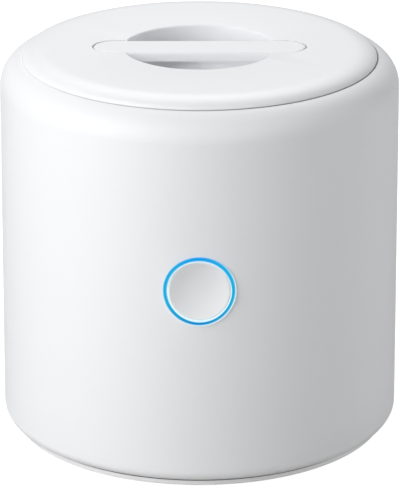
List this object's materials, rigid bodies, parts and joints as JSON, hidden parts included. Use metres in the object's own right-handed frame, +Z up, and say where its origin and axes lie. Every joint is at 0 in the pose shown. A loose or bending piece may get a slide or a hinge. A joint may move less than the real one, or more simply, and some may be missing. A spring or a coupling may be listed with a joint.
{
  "type": "portable uv sterilizer",
  "caption": "Small cylindrical UV steriliser pot for soothers, with a lift-off lid, a flush grip bar over a finger well and a lit front button.",
  "frame": {"origin": "on the rest plane of the rubber feet, under the middle of the body", "axes": "+Z up through the lid, -Y out of the front through the button, +X to the viewer's right"},
  "size_m": [0.0904, 0.0907, 0.0888],
  "materials": {
    "white_shell": "satin white moulding with a soft sheen",
    "white_base": "fine matt white moulding",
    "white_inner": "smooth white inner moulding",
    "grey_frame": "matt grey inner moulding",
    "foot_rubber": "soft matt grey rubber",
    "seal_silicone": "soft translucent white silicone",
    "screw_steel": "plain zinc-plated steel",
    "cell_wrap": "blue shrink sleeve over a metal can",
    "nickel": "plain nickel strip",
    "board_green": "green solder mask",
    "board_white": "white solder mask",
    "chip_black": "matt black epoxy",
    "can_metal": "plain aluminium can",
    "connector_nylon": "natural nylon",
    "lead_red": "limp silicone insulation",
    "polished_aluminium": "bright rolled aluminium",
    "mirror_aluminium": "mirror aluminium sheet",
    "clear_quartz": "polished clear quartz",
    "lamp_ceramic": "cream ceramic package",
    "light_blue": "clear moulding lit blue from behind",
    "clear_stand": "frosted clear moulding",
    "magnet_nickel": "nickel-plated magnet"
  },
  "bodies": {
    "base": {"outer_shell": "white_shell", "base_cover": "white_base", "rubber_feet": "foot_rubber", "base_screws": "screw_steel", "battery_cradle": "grey_frame", "cradle_screws": "screw_steel", "battery_cell": "cell_wrap", "battery_tabs": "nickel", "main_board": "board_green", "board_screws": "screw_steel", "board_chips": "chip_black", "board_capacitors": "can_metal", "board_inductor": "chip_black", "usb_socket": "nickel", "usb_tongue": "chip_black", "port_bezel": "white_inner", "board_header": "chip_black", "lead_connector": "connector_nylon", "led_leads": "lead_red", "button_board": "board_green", "button_guide": "grey_frame", "button_board_screws": "screw_steel", "tact_switch_body": "chip_black", "ring_leds": "lamp_ceramic", "hall_sensor": "chip_black", "light_ring": "light_blue", "chamber_liner": "polished_aluminium", "chamber_rim": "white_inner", "window_gasket": "seal_silicone", "quartz_window": "clear_quartz", "led_holder": "grey_frame", "uv_led_board": "board_white", "uv_leds": "lamp_ceramic", "heat_spreader": "polished_aluminium", "holder_screws": "screw_steel", "soother_stand": "clear_stand"},
    "button": {"button_cap": "white_shell", "switch_plunger": "connector_nylon"},
    "lid": {"lid_cover": "white_shell", "grip_bar": "white_shell", "bar_screws": "screw_steel", "lid_plug": "white_inner", "lid_reflector": "mirror_aluminium", "lid_seal": "seal_silicone", "lid_screws": "screw_steel", "lid_magnet": "magnet_nickel"}
  },
  "joints": [
    {"name": "lid_lift", "type": "slide", "parent": "base", "child": "lid", "axis": [0, 0, 1], "range_m": [0, 0.06]},
    {"name": "button_press", "type": "slide", "parent": "base", "child": "button", "axis": [0, 1, 0], "range_m": [0, 0.0005], "stiffness_N_per_m": 2000, "springref_m": -0.0003}
  ]
}
